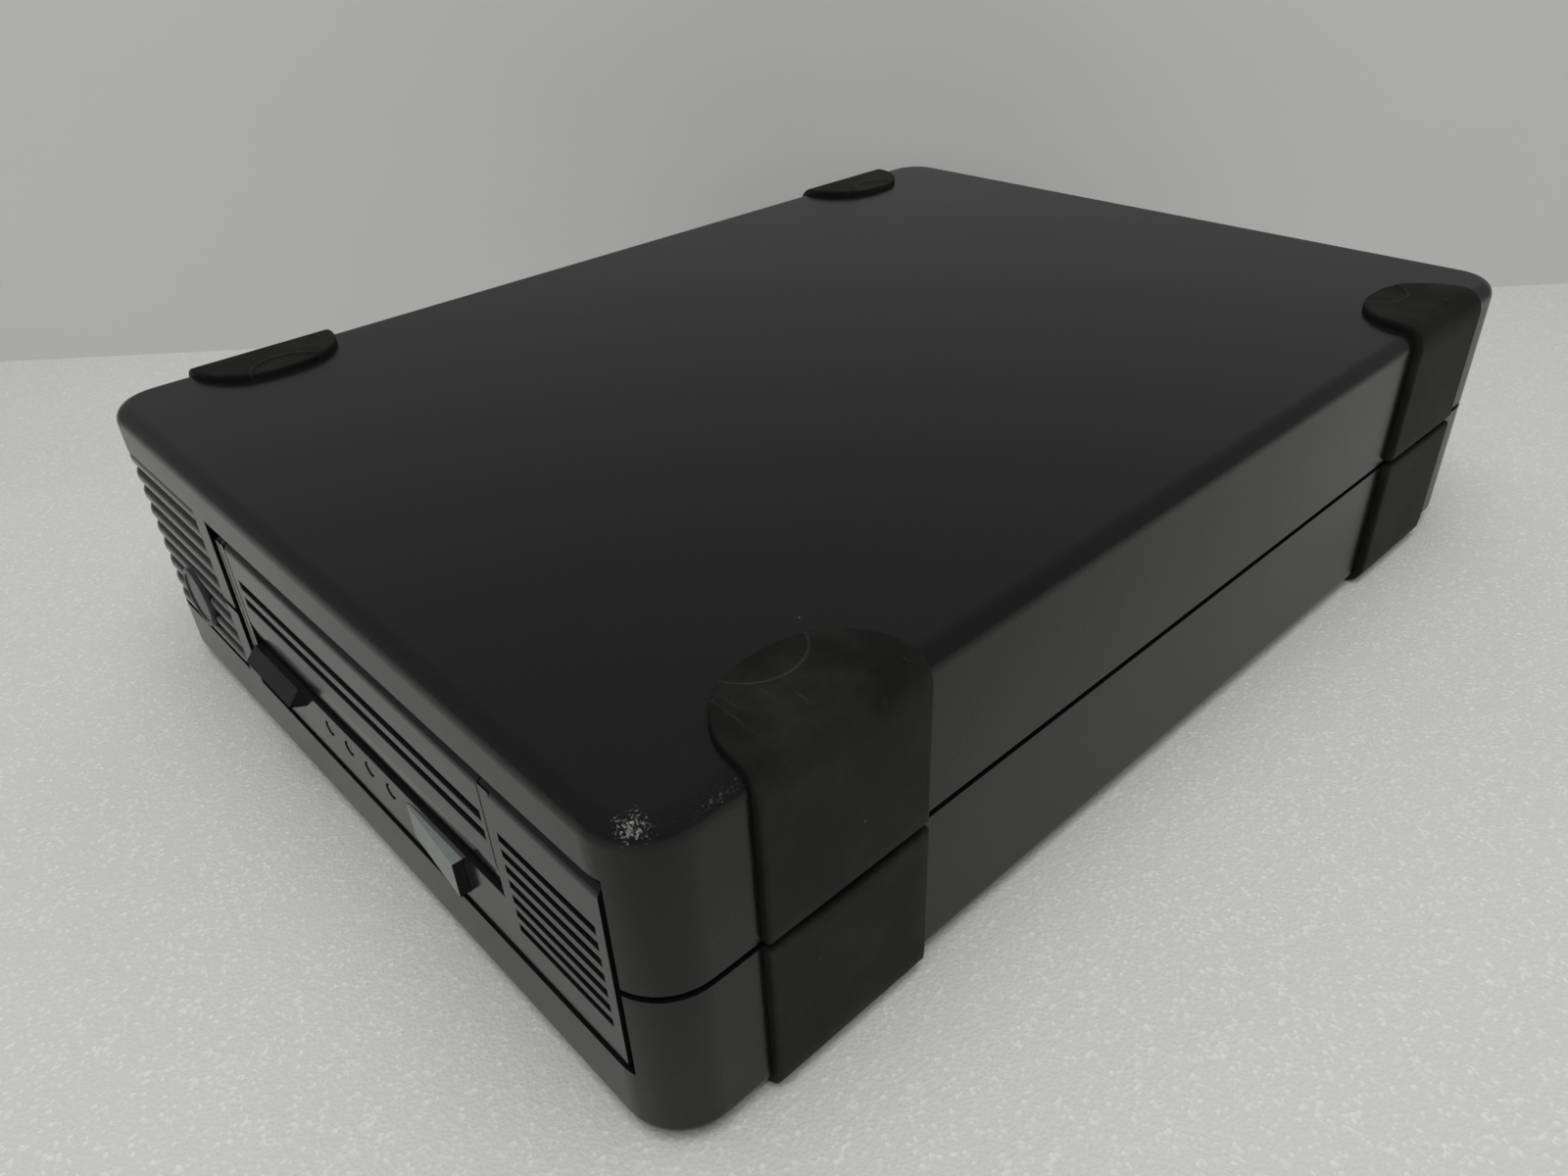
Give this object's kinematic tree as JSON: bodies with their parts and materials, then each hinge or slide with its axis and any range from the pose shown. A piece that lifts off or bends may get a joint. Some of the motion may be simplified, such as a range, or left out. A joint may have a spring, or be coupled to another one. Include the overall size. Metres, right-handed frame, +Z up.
{
  "type": "desktop data tape drive",
  "caption": "Desktop cartridge tape drive: two-part case on rubber corner feet, louvred front, sprung tape door, eject button, rear fan, power inlet and rocker switch.",
  "frame": {"origin": "middle of the footprint, on the surface the feet stand on", "axes": "+X to the right seen from the front, +Y to the back, +Z up"},
  "size_m": [0.224, 0.3092, 0.0755],
  "materials": {
    "carrier_plate": "zinc-plated sheet",
    "carrier_rail_left": "zinc-plated sheet",
    "carrier_rail_right": "zinc-plated sheet",
    "data_connector": "zinc-plated sheet",
    "door_pin": "ground steel",
    "drive_bezel": "satin moulded, black",
    "drive_board": "green solder mask on glass-epoxy",
    "drive_chassis": "zinc-plated sheet",
    "drive_cover": "zinc-plated sheet",
    "drive_screws": "black oxide",
    "drive_spindle": "acetal, off-white",
    "eject_button": "pale grey-green, painted",
    "fan_frame": "moulded black",
    "fan_rotor": "moulded black",
    "fan_screws": "black oxide",
    "front_board": "green solder mask on glass-epoxy",
    "front_grille": "satin moulded, charcoal",
    "grille_badge": "smooth satin, dark grey",
    "guide_roller_1": "polished steel",
    "guide_roller_2": "polished steel",
    "guide_roller_3": "polished steel",
    "guide_roller_4": "polished steel",
    "head_block": "die-cast, machined faces",
    "inlet_blades": "nickel-plated brass",
    "light_pipes": "clear-smoked moulding",
    "lower_shell": "fine spark-eroded texture, charcoal",
    "power_inlet": "moulded black",
    "psu_board": "green solder mask on glass-epoxy",
    "psu_capacitors": "dark sleeve",
    "psu_heatsink": "die-cast, machined faces",
    "psu_transformer": "ferrite core and taped winding",
    "rear_panel": "powder-coated black",
    "rubber_foot_front_left": "matt black, soft",
    "rubber_foot_front_right": "matt black, soft",
    "rubber_foot_rear_left": "matt black, soft",
    "rubber_foot_rear_right": "matt black, soft",
    "rubber_upper_front_left": "matt black, soft",
    "rubber_upper_front_right": "matt black, soft",
    "rubber_upper_rear_left": "matt black, soft",
    "rubber_upper_rear_right": "matt black, soft",
    "shell_screws": "black oxide",
    "switch_frame": "moulded black",
    "switch_rocker": "moulded black",
    "take_up_reel": "acetal, off-white",
    "tape_door": "satin moulded, black",
    "tape_path_plate": "die-cast, machined faces",
    "upper_shell": "fine spark-eroded texture, charcoal"
  },
  "bodies": {
    "unit": {"data_connector": "data_connector", "door_pin": "door_pin", "drive_bezel": "drive_bezel", "drive_board": "drive_board", "drive_chassis": "drive_chassis", "drive_cover": "drive_cover", "drive_screws": "drive_screws", "fan_frame": "fan_frame", "fan_screws": "fan_screws", "front_board": "front_board", "front_grille": "front_grille", "grille_badge": "grille_badge", "inlet_blades": "inlet_blades", "light_pipes": "light_pipes", "lower_shell": "lower_shell", "power_inlet": "power_inlet", "psu_board": "psu_board", "psu_capacitors": "psu_capacitors", "psu_heatsink": "psu_heatsink", "psu_transformer": "psu_transformer", "rear_panel": "rear_panel", "rubber_foot_front_left": "rubber_foot_front_left", "rubber_foot_front_right": "rubber_foot_front_right", "rubber_foot_rear_left": "rubber_foot_rear_left", "rubber_foot_rear_right": "rubber_foot_rear_right", "rubber_upper_front_left": "rubber_upper_front_left", "rubber_upper_front_right": "rubber_upper_front_right", "rubber_upper_rear_left": "rubber_upper_rear_left", "rubber_upper_rear_right": "rubber_upper_rear_right", "shell_screws": "shell_screws", "switch_frame": "switch_frame", "tape_path_plate": "tape_path_plate", "upper_shell": "upper_shell"},
    "door": {"tape_door": "tape_door"},
    "button": {"eject_button": "eject_button"},
    "carrier": {"carrier_plate": "carrier_plate", "carrier_rail_left": "carrier_rail_left", "carrier_rail_right": "carrier_rail_right"},
    "spindle": {"drive_spindle": "drive_spindle"},
    "reel": {"take_up_reel": "take_up_reel"},
    "roller_1": {"guide_roller_1": "guide_roller_1"},
    "roller_2": {"guide_roller_2": "guide_roller_2"},
    "roller_3": {"guide_roller_3": "guide_roller_3"},
    "roller_4": {"guide_roller_4": "guide_roller_4"},
    "head": {"head_block": "head_block"},
    "rotor": {"fan_rotor": "fan_rotor"},
    "rocker": {"switch_rocker": "switch_rocker"}
  },
  "joints": [
    {"name": "door_hinge", "type": "hinge", "parent": "unit", "child": "door", "pos_m": [0.0122, -0.14908, 0.0572], "axis": [1, 0, 0], "range_deg": [0, 85], "stiffness_Nm_per_rad": 0.01, "springref_deg": -20.05},
    {"name": "button_press", "type": "slide", "parent": "unit", "child": "button", "axis": [0, 1, 0], "range_m": [0, 0.001], "stiffness_N_per_m": 600, "springref_m": -0.0008},
    {"name": "carrier_lift", "type": "slide", "parent": "unit", "child": "carrier", "axis": [0, 0, 1], "range_m": [-0.007, 0]},
    {"name": "spindle_turn", "type": "hinge", "parent": "unit", "child": "spindle", "pos_m": [0.0122, -0.08847, 0.0212], "axis": [0, 0, 1], "continuous": true},
    {"name": "reel_turn", "type": "hinge", "parent": "unit", "child": "reel", "pos_m": [0.0122, 0.01452, 0.0282], "axis": [0, 0, 1], "continuous": true},
    {"name": "roller_1_turn", "type": "hinge", "parent": "unit", "child": "roller_1", "pos_m": [0.0827, -0.06098, 0.0302], "axis": [0, 0, 1], "continuous": true},
    {"name": "roller_2_turn", "type": "hinge", "parent": "unit", "child": "roller_2", "pos_m": [0.0867, -0.04297, 0.0302], "axis": [0, 0, 1], "continuous": true},
    {"name": "roller_3_turn", "type": "hinge", "parent": "unit", "child": "roller_3", "pos_m": [0.0867, -0.00698, 0.0302], "axis": [0, 0, 1], "continuous": true},
    {"name": "roller_4_turn", "type": "hinge", "parent": "unit", "child": "roller_4", "pos_m": [0.0827, 0.01103, 0.0302], "axis": [0, 0, 1], "continuous": true},
    {"name": "head_step", "type": "slide", "parent": "unit", "child": "head", "axis": [0, 0, 1], "range_m": [-0.0015, 0.0015]},
    {"name": "fan_turn", "type": "hinge", "parent": "unit", "child": "rotor", "pos_m": [-0.062, 0.13972, 0.03595], "axis": [0, 1, 0], "continuous": true},
    {"name": "rocker_tilt", "type": "hinge", "parent": "unit", "child": "rocker", "pos_m": [0.036, 0.14993, 0.026], "axis": [1, 0, 0], "range_deg": [-16, 0]}
  ]
}
